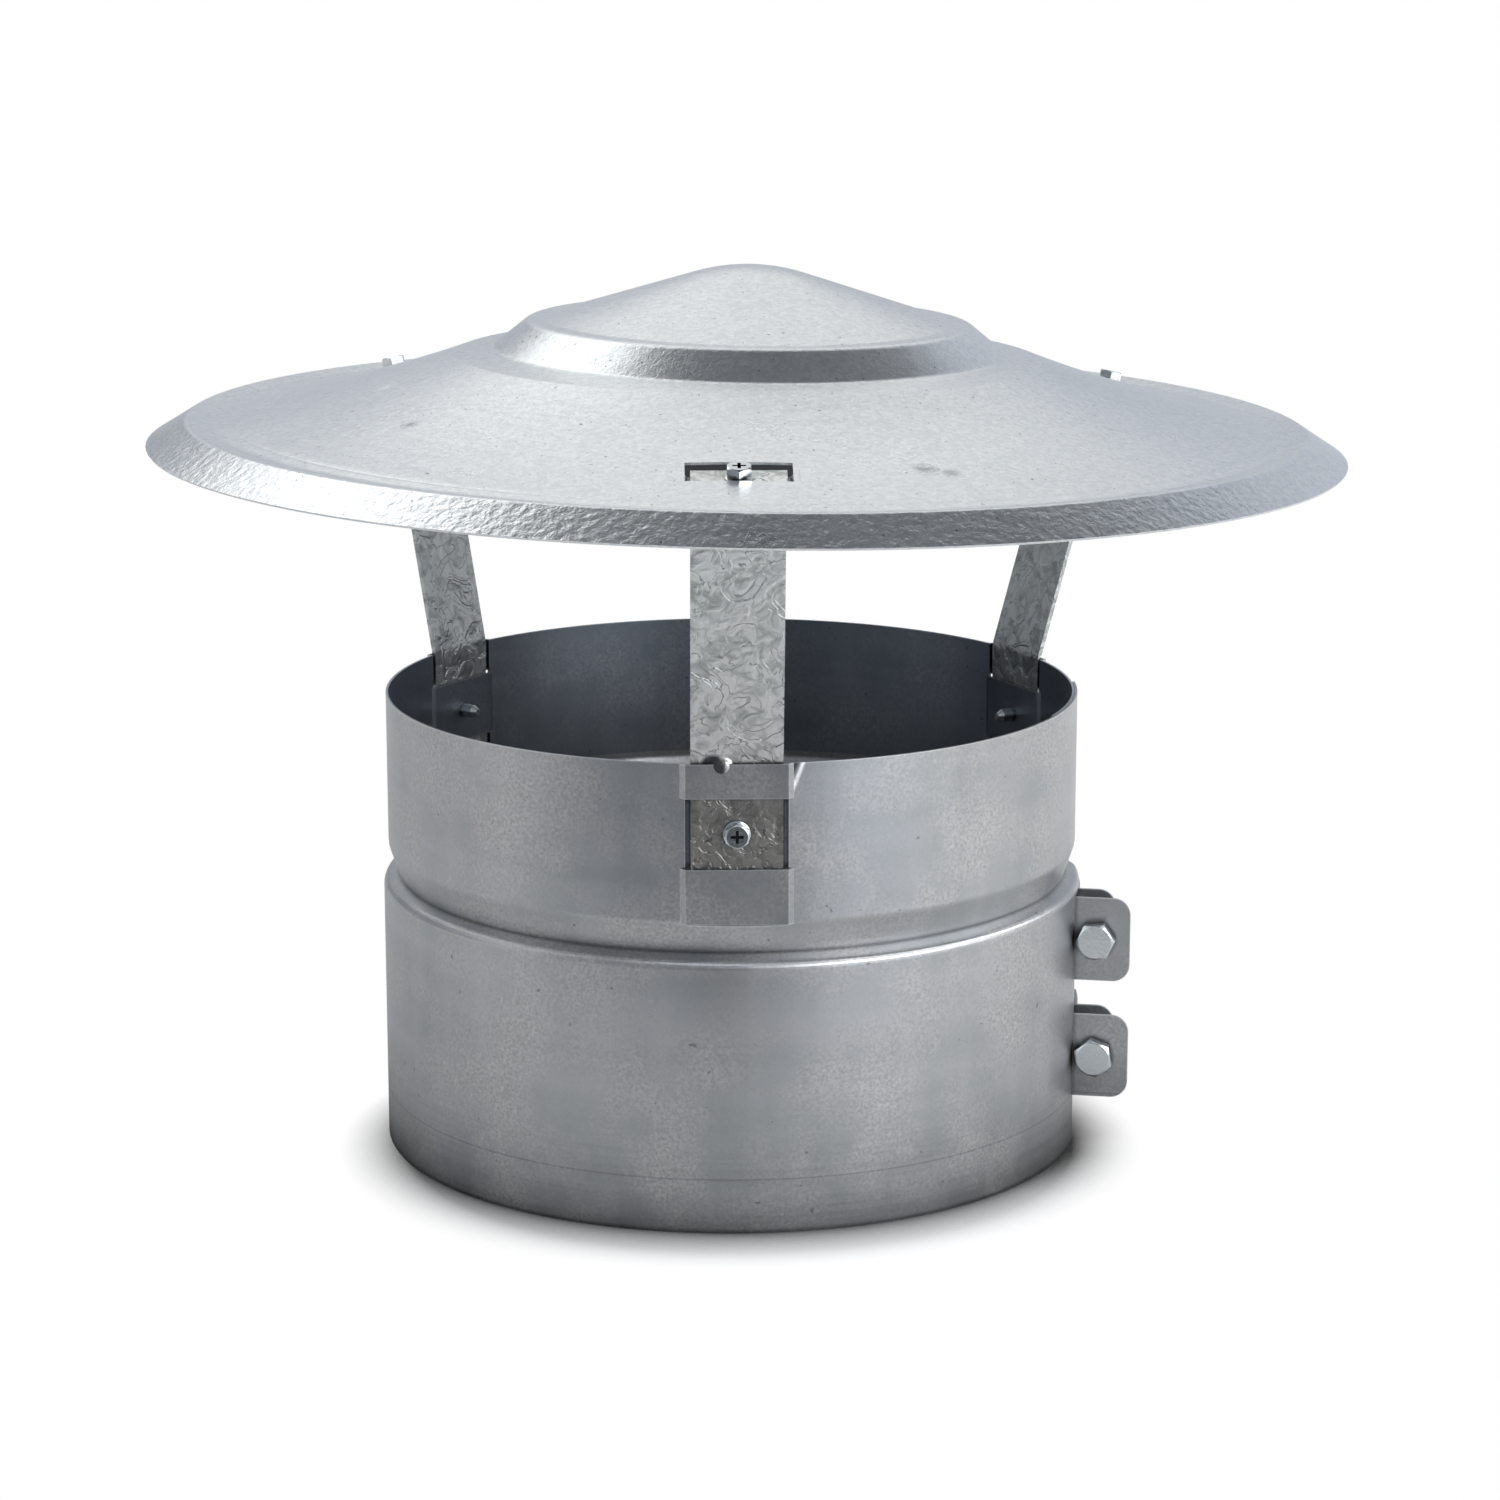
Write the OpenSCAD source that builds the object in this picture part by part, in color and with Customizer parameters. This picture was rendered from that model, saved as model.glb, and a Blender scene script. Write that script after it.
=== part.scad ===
// Round rain cap for a 200 mm flue: a spun hat on three leaning straps over a lapped and clamped collar.
// Origin on the collar's axis at its bottom edge, +Z up, -Y to the front, +X to the clamp side.
// Azimuths are measured from the front towards +X, so 90 is the clamp side and 180 the back.

/* [Collar] */
// Outer radius of the collar's upper wall
collar_r = 100; // [90:1:110]
// Distance of the clamp band below the groove out of the upper wall
band_rise = 1.5; // [1:0.1:4]
// Height of the collar from its bottom edge to its rim
collar_h = 132.1; // [126:1:150]
// Thickness of the collar's sheet
collar_t = 0.7; // [0.5:0.1:1]
// Height of the rolled groove above the bottom edge
groove_z = 78.8; // [78:0.1:82]
// Depth of the rolled groove below the upper wall
groove_d = 3; // [1:0.1:3.5]
// Height over which the wall runs in to the groove
groove_run = 9; // [4:0.5:9]
// Height over which the shoulder falls from the groove out to the band
shoulder_drop = 2; // [0.5:0.1:3]
// Rounding of the shoulder at the top of the band
shoulder_round = 2.8; // [1.5:0.1:3]

/* [Lap joint] */
// Azimuth of the sheet's inner end
lap_start_az = 66; // [55:1:72]
// Azimuth of the sheet's outer end above the band
lap_end_az = 93; // [88:1:94]
// Gap between the two layers of the lap at the outer end
lap_gap = 0.15; // [0.1:0.05:0.3]

/* [Strap pockets] */
// Azimuth of the front strap
front_az = 1.3; // [-4:0.1:4]
// Azimuth of the left strap
left_az = -123.5; // [-127:0.5:-117]
// Azimuth of the right strap
right_az = 119.3; // [117:0.5:124]
// Height of the top bridge below the rim
top_bridge_h = 9.6; // [6:0.2:12]
// Height of the pressed-in strip between the bridges
mid_strip_h = 18.6; // [14:0.2:22]
// Height of the lower bridge
lower_bridge_h = 15.4; // [12:0.2:16]
// Height of each slit between the strips
slit_h = 0.5; // [0.3:0.1:1]
// Clear space beside the strap in its pocket
pocket_side_gap = 1.45; // [0.8:0.05:2]
// Width of a bridge's sloped side
bridge_slope = 1.6; // [1:0.1:2.5]
// Clearance between a strap and the strips that hold it
strap_clearance = 0.1; // [0.05:0.05:0.3]
// Depth to which the strip between the bridges is pressed in, behind the pocket's chord
mid_strip_press = 0.6; // [0.2:0.1:1.5]

/* [Straps] */
// Width of a strap
strap_w = 25; // [20:1:28]
// Thickness of a strap
strap_t = 1.2; // [1:0.1:1.8]
// Inner radius of a strap's bends
strap_bend = 1.2; // [0.8:0.1:2]
// Height of the lower bend above the collar's rim
lean_start = 0.4; // [0:0.2:3]
// Length of the strap's foot below the pressed-in strip
foot_l = 14; // [6:0.5:15]
// Length of the flange on the hat, from the slit to its end
flange_l = 14.5; // [13:0.5:16]
// Radius of the zinc drip on the front strap where it meets the strap
drip_r = 3.2; // [2:0.1:4]
// Height of the zinc drip over the strap
drip_h = 1.6; // [1:0.1:2]
// Sideways place of the zinc drip
drip_y = -4.1; // [-8:0.1:8]

/* [Hat] */
// Outer radius of the hat's rim
hat_r = 170.7; // [165:1:185]
// Height of the hat's rim above the collar's bottom edge
hat_rim_z = 203.5; // [195:1:215]
// Height of the hat from its rim to its top
hat_h = 51.3; // [48:0.5:60]
// Thickness of the hat's sheet
hat_t = 0.7; // [0.5:0.1:1]
// Sideways place of the hat's axis, to the clamp side
hat_dx = 5.2; // [0:0.1:6]
// Place of the hat's axis in front of the collar's
hat_dy = 3.2; // [0:0.1:5]
// Tilt of the hat down towards the clamp side
hat_tilt = 1; // [0:0.01:1.5]
// Tilt of the hat up towards the front
hat_pitch = 0.26; // [0:0.01:1]
// Radius of the ball-shaped top
dome_r = 55; // [40:1:70]
// Slope of the upper cone
upper_slope = 17.5; // [15:0.5:19]
// Radius at which the upper cone meets the ledge
ledge_r = 58; // [50:1:60]
// Width of the ledge around the upper cone
ledge_w = 5; // [4:0.2:8]
// Height of the step below the ledge
step_h = 8; // [6:0.1:9]
// Width of the step seen from above
step_w = 10; // [6:0.2:12]
// Rounding of the step
step_round = 4; // [1:0.5:6]
// Width of the gentle band below the step
plateau_w = 10.4; // [8:0.2:14]
// Slope of the gentle band
plateau_slope = 10; // [4:0.5:12]
// Slope at the top of the lower cone
cone_slope_top = 21; // [18:0.5:24]
// Distance of the lower cone's end inside the rim
cone_end_in = 24.8; // [22:0.2:28]
// Slope at the end of the lower cone
cone_slope_end = 11; // [8:0.5:14]
// Distance of the shallow gutter ring inside the rim
gutter_in = 17.8; // [15.5:0.1:19]
// Height of the gutter ring above the rim
gutter_z = 6; // [5.5:0.1:7]
// Distance of the raised ridge inside the rim
ridge_in = 11.2; // [9:0.2:13]
// Height of the raised ridge above the rim
ridge_z = 7.1; // [6.5:0.1:8]
// Rounding of the ridge at the top of the skirt
ridge_round = 2; // [1:0.2:3]

/* [Hat windows] */
// Distance inside the rim at which the straps come up through the hat
slit_in = 49.7; // [44:0.1:52]
// Length of a window down the slope, from the strap to its lip
window_l = 11.2; // [11:0.1:12]
// Gap between the strap and the window's upper edge
window_gap = 0.9; // [0.5:0.1:1.5]
// Gap between the flange and the skin that it slides under
flange_gap = 0.42; // [0.4:0.02:0.6]
// Distance of the pressed strip's upper edge from the slit
strip_in = 3.2; // [2.6:0.1:4]
// Place of the hat screw down the slope from the slit
hat_screw_x = 7.3; // [6.8:0.1:7.3]

/* [Screws] */
// Diameter of a screw's round flange
screw_flange_d = 7.4; // [6:0.1:7.6]
// Thickness of a screw's round flange
screw_flange_t = 0.7; // [0.4:0.1:1]
// Width across flats of a screw's head
screw_af = 6.2; // [5:0.1:6.4]
// Height of a screw's hexagon
screw_head_h = 2.9; // [2:0.1:4]
// Diameter of a screw's shank
screw_d = 3.9; // [3:0.1:4.5]
// Length of a screw under its head
screw_l = 7.5; // [6:0.5:16]
// Length of a screw's blunt point
screw_point = 1.6; // [1:0.2:4]
// Span of the cross recess
recess_w = 3.6; // [2:0.1:4]
// Width of a wing of the cross recess
recess_t = 0.9; // [0.5:0.1:1.2]
// Depth of the cross recess
recess_d = 1.6; // [0.8:0.1:2]
// Clearance around a screw's shank
screw_clearance = 0.05; // [0.05:0.05:0.2]

/* [Clamp] */
// Azimuth of the clamp, midway between its ears
clamp_az = 80.2; // [77:0.2:82]
// Clear gap between the front ears and the rear lugs
clamp_gap = 8.6; // [6:0.2:10]
// Length of a front ear out of the band
ear_l = 16.7; // [15:0.1:22]
// Height of an ear
ear_h = 24.8; // [20:0.1:26]
// Rounding of an ear's outer corners
ear_round = 5; // [2:0.5:7]
// Height of the lower ear's middle above the bottom edge
lower_ear_z = 26.8; // [20:0.1:28]
// Height from the lower ear's middle to the upper one's
ear_pitch = 35.1; // [30:0.1:37]
// Thickness of a rear lug
lug_t = 1; // [0.8:0.1:1.5]
// Length of a rear lug out of the sheet
lug_l = 11.6; // [11.4:0.2:18]
// Length of a rear lug's foot along the sheet
lug_foot_l = 16; // [10:0.5:20]
// Clearance under a rear lug's foot
lug_clearance = 0.05; // [0.05:0.05:0.2]
// Distance of the bolts out of the band
bolt_out = 6.9; // [6.6:0.1:8]
// Diameter of a bolt
bolt_d = 6; // [4:0.5:6.5]
// Width across flats of a bolt's head and nut
bolt_af = 10; // [8:0.5:10.5]
// Height of a bolt's head
bolt_head_h = 4; // [3:0.5:5]
// Length of a bolt under its head
bolt_l = 20; // [18:1:25]
// Height of a nut
nut_h = 5; // [4:0.5:6]
// Clearance around a bolt in its holes
bolt_hole_gap = 0.3; // [0.2:0.1:0.6]
// Clearance around a bolt in its nut
nut_gap = 0.05; // [0.05:0.05:0.2]
// Gap under a bolt's head and under a nut
seat_gap = 0.05; // [0:0.05:0.1]
// Turn of the upper bolt's head
upper_turn = -5; // [-30:1:30]
// Turn of the lower bolt's head
lower_turn = 20; // [-30:1:30]

/* [Hidden] */
$fn = 96;

// Margin by which a cut runs past the face that it opens
past = 1;

// Outer radius of the clamp band
band_r = collar_r + band_rise;

// Pocket levels, from the rim down
top_bridge_z = collar_h - top_bridge_h;
mid_top_z = top_bridge_z - slit_h;
mid_bottom_z = mid_top_z - mid_strip_h;
lower_bridge_top_z = mid_bottom_z - slit_h;
lower_bridge_z = lower_bridge_top_z - lower_bridge_h;
pocket_bottom_z = lower_bridge_z - slit_h;
pocket_w = strap_w + 2 * pocket_side_gap;
collar_screw_z = (mid_top_z + mid_bottom_z) / 2;

// Flat distances from the axis: the pressed-in strip lies behind the chord of the pocket
mid_strip_out = sqrt(pow(collar_r, 2) - pow(pocket_w / 2, 2)) - mid_strip_press;
strap_in = mid_strip_out + strap_clearance;
strap_out = strap_in + strap_t;
bridge_in = strap_out + strap_clearance;
strap_end_z = mid_bottom_z - foot_l;
lean_z = collar_h + lean_start;

// Hat section above its rim plane
cone_end_r = hat_r - cone_end_in;
gutter_r = hat_r - gutter_in;
dome_end = [dome_r * sin(upper_slope), hat_h - dome_r * (1 - cos(upper_slope))];
ledge_z = dome_end.y - (ledge_r - dome_end.x) * tan(upper_slope);
ledge_fall = 0.3;
step_top = [ledge_r + ledge_w, ledge_z - ledge_fall];
step_foot = step_top + [step_w, -step_h];
cone_start = step_foot + [plateau_w, -plateau_w * tan(plateau_slope)];
cone_l = cone_end_r - cone_start.x;
cone_bend = (tan(cone_slope_top) - tan(cone_slope_end)) / (2 * cone_l);
cone_parts = 8;
dome_parts = 6;

// Height of the lower cone's outer face at a radius, above the rim plane
function cone_z(r) = let (d = r - cone_start.x)
    cone_start.y - d * tan(cone_slope_top) + cone_bend * d * d;

// Window frames: place of a strap on the hat, in the strap's own upright plane
slit_r = hat_r - slit_in;
slit_z = cone_z(slit_r);
cone_fall = atan2(slit_z - cone_z(slit_r + flange_l), flange_l);
function hat_reach(az) = let (out = hat_dx * sin(az) + hat_dy * cos(az))
    out + sqrt(pow(slit_r, 2) - pow(hat_dx, 2) - pow(hat_dy, 2) + pow(out, 2));
function hat_level(az) = let (r = hat_reach(az), x = r * sin(az) - hat_dx, y = hat_dy - r * cos(az))
    hat_rim_z + slit_z - x * sin(hat_tilt) - y * sin(hat_pitch);
function hat_fall(az) = cone_fall + hat_tilt * sin(az) - hat_pitch * cos(az);

// Depths below the hat's outer face at a window
flange_top = hat_t + flange_gap;
strip_top = flange_top + strap_t + strap_clearance;

// Clamp levels and radii
lap_rise = collar_t + lap_gap;
spring_az = lap_end_az - 90;
upper_ear_z = lower_ear_z + ear_pitch;
bolt_r = band_r + bolt_out;
ear_end_az = clamp_az - asin(clamp_gap / 2 / band_r);
shoulder_turn = atan2(groove_d + band_rise, shoulder_drop);
band_top_z = groove_z - shoulder_drop - shoulder_round * tan(shoulder_turn / 2) - 0.5;

// Unit vector, arc at a corner, path with round corners, path moved to its right, and sheet section
function unit(v) = v / norm(v);
function corner_arc(a, b, c, r, n) =
    let (u = unit(a - b), v = unit(c - b),
         half = acos(u * v) / 2,
         centre = b + unit(u + v) * r / sin(half),
         from = b + u * r / tan(half) - centre,
         to = b + v * r / tan(half) - centre,
         start = atan2(from.y, from.x),
         turn = (atan2(to.y, to.x) - start + 540) % 360 - 180)
    [for (i = [0 : n]) centre + r * [cos(start + turn * i / n), sin(start + turn * i / n)]];
function rounded(path, radii, n = 5) =
    [for (i = [0 : len(path) - 1])
        each radii[i] == 0 ? [path[i]]
            : corner_arc(path[i - 1], path[i], path[i + 1], radii[i], n)];
function moved(path, t) =
    [for (i = [0 : len(path) - 1])
        let (d0 = unit(i > 0 ? path[i] - path[i - 1] : path[1] - path[0]),
             d1 = i < len(path) - 1 ? unit(path[i + 1] - path[i]) : d0,
             n0 = [d0.y, -d0.x], n1 = [d1.y, -d1.x])
        path[i] + t * (n0 + n1) / (1 + n0 * n1)];
function reversed(path) = [for (i = [len(path) - 1 : -1 : 0]) path[i]];
function sheet(path, t) = concat(path, reversed([for (p = moved(path, t)) [max(p.x, 0), p.y]]));

// Outer face of the collar from the rim down
collar_path = rounded(
    [[collar_r, collar_h],
     [collar_r, groove_z + groove_run],
     [collar_r - groove_d, groove_z],
     [band_r, groove_z - shoulder_drop],
     [band_r, 0]],
    [0, 5, 0, shoulder_round, 0]);

// Outer face of the hat from its top out to its rim
hat_path = concat(
    [for (i = [0 : dome_parts - 1])
        let (a = upper_slope * i / dome_parts)
        [dome_r * sin(a), hat_h - dome_r * (1 - cos(a))]],
    rounded(
        [dome_end,
         [ledge_r, ledge_z],
         step_top,
         step_foot,
         cone_start],
        [0, 4, step_round, step_round, 0]),
    [for (i = [1 : cone_parts])
        let (r = cone_start.x + cone_l * i / cone_parts) [r, cone_z(r)]],
    rounded(
        [[gutter_r - 2, gutter_z + 0.2],
         [gutter_r, gutter_z],
         [hat_r - ridge_in, ridge_z],
         [hat_r, 0]],
        [0, 6, ridge_round, 0]));

// Turns a radial frame (+X outward) to an azimuth
module at_azimuth(az) {
    rotate([0, 0, az - 90]) children();
}

// Revolves a section between two azimuths
module sector(from_az, to_az, section) {
    at_azimuth(from_az) rotate_extrude(angle = to_az - from_az) polygon(section);
}

// Frame on the hat's outer face at a strap: +X down the slope, +Z out of the face
module at_window(az) {
    at_azimuth(az)
    translate([hat_reach(az), 0, hat_level(az)])
    rotate([0, hat_fall(az), 0]) children();
}

// Flat strip with sloped sides, seen from above: its outer face at x, its ends sunk in the wall
module pressed_strip(out, t, w, slope, edge_out, h) {
    linear_extrude(height = h)
    polygon([[edge_out - t / 4, -w / 2 - slope], [out, -w / 2],
             [out, w / 2], [edge_out - t / 4, w / 2 + slope],
             [edge_out - 3 * t / 4, w / 2 + slope], [out - t, w / 2 - t / 2],
             [out - t, -w / 2 + t / 2], [edge_out - 3 * t / 4, -w / 2 - slope]]);
}

// Collar

// The last quarter turn of the sheet springs out over its inner end, about a centre moved to the clamp side
module sprung_end() {
    section = [for (p = sheet(collar_path, collar_t)) [norm([p.x, lap_rise]), p.y]];
    difference() {
        at_azimuth(spring_az) translate([0, lap_rise, 0])
        rotate([0, 0, -2]) rotate_extrude(angle = 92) polygon(section);
        at_azimuth(spring_az) translate([0, -collar_r, -past])
        cube([2 * collar_r, collar_r, collar_h + 2 * past]);
        // In the band it stops at the ears
        sector(ear_end_az, lap_end_az + 2 * past,
               [[band_r + lap_gap / 3, -past], [band_r + 2 * lap_rise, -past],
                [band_r + 2 * lap_rise, band_top_z], [band_r + lap_gap / 3, band_top_z]]);
    }
}

module collar_wall() {
    sector(lap_start_az, spring_az + 360, sheet(collar_path, collar_t));
    sprung_end();
}

module pocket_cut() {
    translate([collar_r - 10, -pocket_w / 2, pocket_bottom_z])
    cube([20, pocket_w, collar_h - pocket_bottom_z + past]);
}

// The two bridges over a strap and the strip behind it
module pocket_strips() {
    half_foot = pocket_w / 2 + bridge_slope;
    wall_out = sqrt(pow(collar_r, 2) - pow(half_foot, 2));
    bridge_out = bridge_in + collar_t;
    translate([0, 0, top_bridge_z])
    pressed_strip(bridge_out, collar_t, pocket_w, bridge_slope, wall_out, top_bridge_h);
    translate([0, 0, lower_bridge_z])
    pressed_strip(bridge_out, collar_t, pocket_w, bridge_slope, wall_out, lower_bridge_h);
    difference() {
        translate([0, 0, mid_bottom_z])
        pressed_strip(mid_strip_out, collar_t, pocket_w, bridge_slope, wall_out, mid_strip_h);
        collar_screw_hole();
    }
}

module collar_screw_hole() {
    translate([strap_in - 5, 0, collar_screw_z]) rotate([0, 90, 0])
    cylinder(h = 10, d = screw_d + 2 * screw_clearance);
}

// Plate of an ear or lug in the clamp's frame: x out of the band, z up, rounded outer corners
module ear_plate(from_r, to_r, t) {
    rotate([90, 0, 0]) translate([0, 0, -t])
    difference() {
        union() {
            translate([from_r, -ear_h / 2, 0]) cube([to_r - from_r - ear_round, ear_h, t]);
            translate([from_r, -ear_h / 2 + ear_round, 0]) cube([to_r - from_r, ear_h - 2 * ear_round, t]);
            for (side = [-1, 1])
                translate([to_r - ear_round, side * (ear_h / 2 - ear_round), 0]) cylinder(h = t, r = ear_round);
        }
        translate([bolt_r, 0, -past]) cylinder(h = t + 2 * past, d = bolt_d + 2 * bolt_hole_gap);
    }
}

module front_ear(z) {
    at_azimuth(clamp_az) translate([0, -clamp_gap / 2 - collar_t, z])
    ear_plate(band_r + lap_rise / 4, band_r + ear_l, collar_t);
}

module collar() {
    color("silver") {
        difference() {
            collar_wall();
            for (az = [front_az, left_az, right_az]) at_azimuth(az) pocket_cut();
        }
        for (az = [front_az, left_az, right_az]) at_azimuth(az) pocket_strips();
        for (z = [lower_ear_z, upper_ear_z]) front_ear(z);
    }
}

// Straps

// One strap in its upright plane, from its foot up through the hat to the end of its flange
module strap(az) {
    reach = hat_reach(az);
    fall = hat_fall(az);
    corner = [reach, hat_level(az)] - flange_top * [sin(fall), cos(fall)];
    bend = strap_bend + strap_t;
    path = rounded(
        [[strap_in, strap_end_z],
         [strap_in, lean_z],
         corner,
         corner + flange_l * [cos(fall), -sin(fall)]],
        [0, 8, bend, 0]);
    color("darkgray")
    difference() {
        at_azimuth(az) rotate([90, 0, 0]) translate([0, 0, -strap_w / 2])
        linear_extrude(height = strap_w) polygon(sheet(path, strap_t));
        at_azimuth(az) collar_screw_hole();
        at_window(az) hat_screw_hole();
    }
}

// Drop of zinc that hangs over the rim from the front strap
module drip() {
    ball_r = (drip_r * drip_r + drip_h * drip_h) / (2 * drip_h);
    color("darkgray")
    at_azimuth(front_az)
    intersection() {
        translate([strap_out + drip_h - ball_r, drip_y, lean_z - 0.8]) sphere(r = ball_r);
        difference() {
            translate([strap_out - strap_t / 2, drip_y - drip_r, lean_z - drip_r - 1])
            cube([2 * drip_h + strap_t, 2 * drip_r, 3 * drip_r]);
            translate([strap_out - strap_t, drip_y - drip_r - past, lean_z - 2 * drip_r])
            cube([bridge_in + collar_t + 2 * strap_clearance - strap_out + strap_t,
                  2 * (drip_r + past), 2 * drip_r - lean_start + strap_clearance]);
        }
    }
}

module strap_front() {
    strap(front_az);
    drip();
}
module strap_left() { strap(left_az); }
module strap_right() { strap(right_az); }

// Hat

module hat_screw_hole() {
    translate([hat_screw_x, 0, -strip_top - 5])
    cylinder(h = 10, d = screw_d + 2 * screw_clearance);
}

module hat_window_cut() {
    translate([-window_gap, -pocket_w / 2, -3 * strap_t])
    cube([window_gap + window_l, pocket_w, 6 * strap_t]);
}

// Strip pressed down under the flange, its sides running up into the skin
module hat_strip() {
    strip_l = window_l - strip_in - slit_h;
    difference() {
        translate([strip_in, 0, 0]) rotate([90, 0, 90])
        linear_extrude(height = strip_l)
        polygon([for (side = [-1, 1]) each
            let (rise = [side * (pocket_w / 2 + bridge_slope), -hat_t / 2 - 0.2],
                 low = [side * pocket_w / 2 - side * pocket_side_gap / 2, -strip_top])
            side < 0 ? [rise - [0, hat_t / 2], rise + [0, hat_t / 2], low]
                     : [low, rise + [0, hat_t / 2], rise - [0, hat_t / 2], low - [0, hat_t],
                        [-low.x, low.y - hat_t]]]);
        hat_screw_hole();
    }
}

module hat() {
    color("gainsboro") {
        difference() {
            translate([hat_dx, -hat_dy, hat_rim_z + slit_z])
            rotate([-hat_pitch, hat_tilt, 0])
            translate([0, 0, -slit_z])
            rotate_extrude() polygon(sheet(hat_path, hat_t));
            for (az = [front_az, left_az, right_az]) at_window(az) hat_window_cut();
        }
        for (az = [front_az, left_az, right_az]) at_window(az) hat_strip();
    }
}

// Screws

// Hexagon prism with its top corners turned off, standing on z = 0
module hex_head(af, h) {
    corner_r = af / sqrt(3);
    intersection() {
        cylinder(h = h, r = corner_r, $fn = 6);
        rotate_extrude()
        polygon([[0, 0], [corner_r + past, 0], [corner_r + past, h - (corner_r - af / 2) - past * tan(30)],
                 [af / 2 * 0.94, h], [0, h]]);
    }
}

// Blunt-ended screw with a round flange and a crossed hexagon head, its flange's underside on z = 0
module screw() {
    color("lightsteelblue")
    difference() {
        union() {
            rotate_extrude()
            polygon([[0, -screw_l], [screw_d / 4, -screw_l], [screw_d / 2, -screw_l + screw_point], [screw_d / 2, 0],
                     [screw_flange_d / 2, 0], [screw_flange_d / 2, screw_flange_t * 0.6],
                     [screw_flange_d / 2 - screw_flange_t, screw_flange_t], [0, screw_flange_t]]);
            hex_head(screw_af, screw_flange_t + screw_head_h);
        }
        for (turn = [0, 90])
            rotate([0, 0, turn])
            translate([-recess_w / 2, -recess_t / 2, screw_flange_t + screw_head_h - recess_d])
            cube([recess_w, recess_t, recess_d + past]);
    }
}

module hat_screw(az) {
    at_window(az) translate([hat_screw_x, 0, -flange_top + seat_gap]) screw();
}
module collar_screw(az) {
    at_azimuth(az) translate([strap_out + seat_gap, 0, collar_screw_z]) rotate([0, 90, 0]) screw();
}
module hat_screw_front() { hat_screw(front_az); }
module hat_screw_left() { hat_screw(left_az); }
module hat_screw_right() { hat_screw(right_az); }
module collar_screw_front() { collar_screw(front_az); }
module collar_screw_left() { collar_screw(left_az); }
module collar_screw_right() { collar_screw(right_az); }

// Clamp

// Angle lug behind the ears: a plate with a hole and a curved foot along the sheet
module clamp_lug(z) {
    foot_r = band_r + lug_clearance;
    color("gray")
    at_azimuth(clamp_az) translate([0, clamp_gap / 2, z]) {
        ear_plate(foot_r + lug_t / 2, band_r + lug_l, lug_t);
        intersection() {
            translate([0, 0, -ear_h / 2]) cube([2 * band_r, lug_foot_l, ear_h]);
            translate([0, -clamp_gap / 2, -ear_h])
            difference() {
                cylinder(h = 2 * ear_h, r = foot_r + lug_t);
                translate([0, 0, -past]) cylinder(h = 2 * (ear_h + past), r = foot_r);
            }
        }
    }
}

// Places a bolt part in the clamp: its +Z runs through both plates towards the back
module along_bolt(z, offset) {
    at_azimuth(clamp_az) translate([bolt_r, offset, z]) rotate([-90, 0, 0]) children();
}

module clamp_bolt(z, turn) {
    color("lightsteelblue")
    along_bolt(z, -clamp_gap / 2 - collar_t - seat_gap) {
        cylinder(h = bolt_l, d = bolt_d);
        mirror([0, 0, 1]) rotate([0, 0, turn]) hex_head(bolt_af, bolt_head_h);
    }
}

module clamp_nut(z, turn) {
    color("lightsteelblue")
    along_bolt(z, clamp_gap / 2 + lug_t + seat_gap)
    difference() {
        rotate([0, 0, turn]) hex_head(bolt_af, nut_h);
        translate([0, 0, -past]) cylinder(h = nut_h + 2 * past, d = bolt_d + 2 * nut_gap);
    }
}

module clamp_lug_upper() { clamp_lug(upper_ear_z); }
module clamp_lug_lower() { clamp_lug(lower_ear_z); }
module clamp_bolt_upper() { clamp_bolt(upper_ear_z, upper_turn); }
module clamp_bolt_lower() { clamp_bolt(lower_ear_z, lower_turn); }
module clamp_nut_upper() { clamp_nut(upper_ear_z, upper_turn); }
module clamp_nut_lower() { clamp_nut(lower_ear_z, lower_turn); }

hat();
collar();
strap_front();
strap_left();
strap_right();
hat_screw_front();
hat_screw_left();
hat_screw_right();
collar_screw_front();
collar_screw_left();
collar_screw_right();
clamp_lug_upper();
clamp_lug_lower();
clamp_bolt_upper();
clamp_bolt_lower();
clamp_nut_upper();
clamp_nut_lower();
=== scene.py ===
import math
import bpy
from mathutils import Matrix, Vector

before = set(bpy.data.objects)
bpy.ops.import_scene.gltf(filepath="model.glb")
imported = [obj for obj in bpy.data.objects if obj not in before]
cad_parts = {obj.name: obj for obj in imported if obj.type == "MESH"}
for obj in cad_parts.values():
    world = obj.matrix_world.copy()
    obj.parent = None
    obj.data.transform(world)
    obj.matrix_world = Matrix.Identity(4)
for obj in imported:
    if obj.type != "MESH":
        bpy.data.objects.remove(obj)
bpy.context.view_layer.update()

scene = bpy.context.scene
scene.view_settings.view_transform = "Standard"

# Camera
# A long lens in front of the cap, a little above it: 100 mm on a 36 mm wide square frame.
camera_place = (0.00577, -1.186, 0.3885)
camera_down = math.radians(13.09)
camera_data = bpy.data.cameras.new("camera")
camera_data.lens = 100.0
camera_data.sensor_width = 36.0
camera_data.clip_end = 20.0
camera = bpy.data.objects.new("camera", camera_data)
camera.location = camera_place
camera.rotation_euler = (math.radians(90) - camera_down, 0, 0)
scene.collection.objects.link(camera)
scene.camera = camera


# Hat
# One round of galvanised steel sheet, spun over a former and lanced for the three straps.
# Its zinc is pale and satin, with a fine frosty spangle, small dark pits, and faint rings that the
# spinning roller left near the rim.
def linear(code):
    parts = [int(code[i:i + 2], 16) / 255 for i in (1, 3, 5)]
    return tuple(c / 12.92 if c <= 0.04045 else ((c + 0.055) / 1.055) ** 2.4 for c in parts) + (1.0,)


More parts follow.
